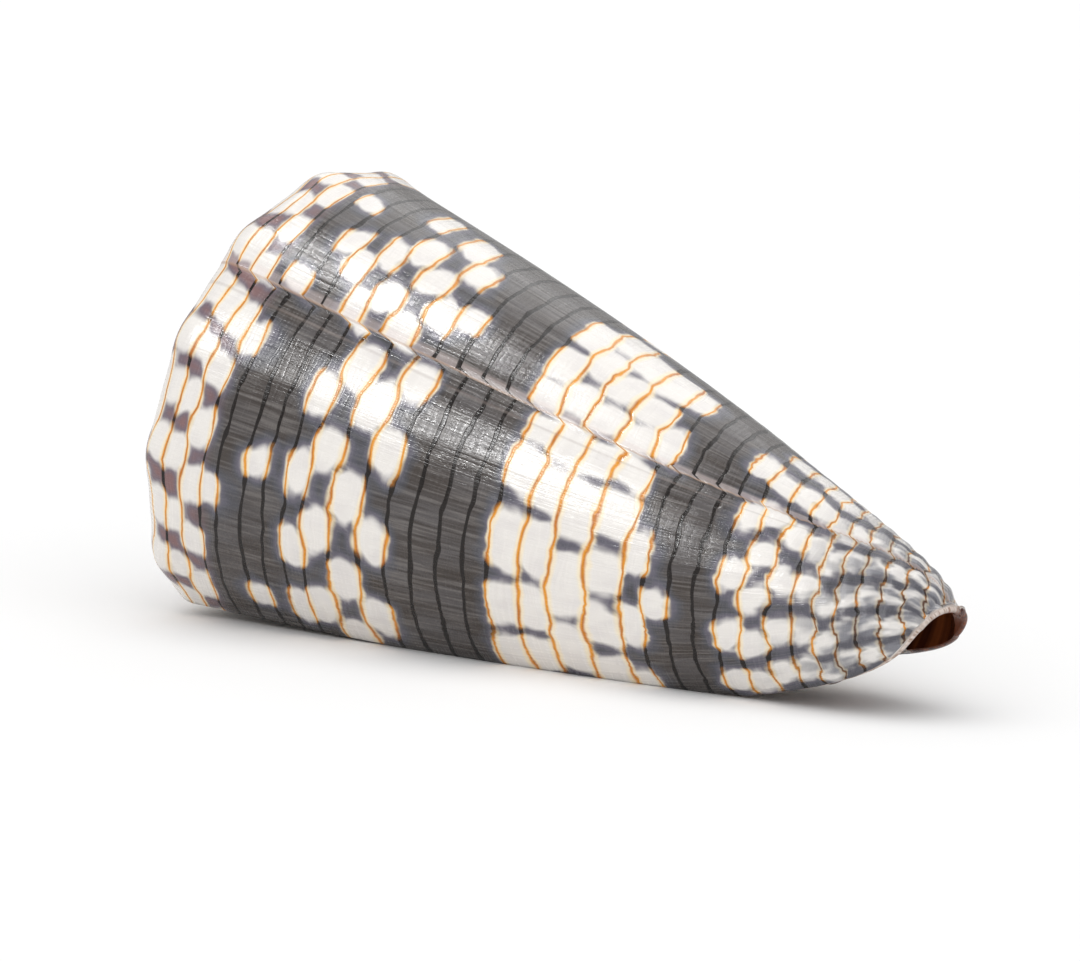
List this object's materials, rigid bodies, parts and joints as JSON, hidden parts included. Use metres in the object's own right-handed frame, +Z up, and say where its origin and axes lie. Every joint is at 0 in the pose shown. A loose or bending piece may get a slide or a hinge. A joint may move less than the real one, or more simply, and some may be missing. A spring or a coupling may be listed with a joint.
{
  "type": "cone shell",
  "caption": "Zoned cone shell: one tapering whorl under a low knobbed spire, with a narrow lengthwise opening and an open front canal, lying on its opening as a loose specimen or prop.",
  "frame": {"origin": "Centre of the bounding box's underside, on the surface that the shell lies on.", "axes": "+Z is up. +X points along the shell to its front end, seen from above. -Y is the side of the outer lip."},
  "size_m": [0.0566, 0.0312, 0.0293],
  "materials": {
    "shell": "gloss"
  },
  "bodies": {
    "root": {"shell": "shell"}
  },
  "joints": []
}
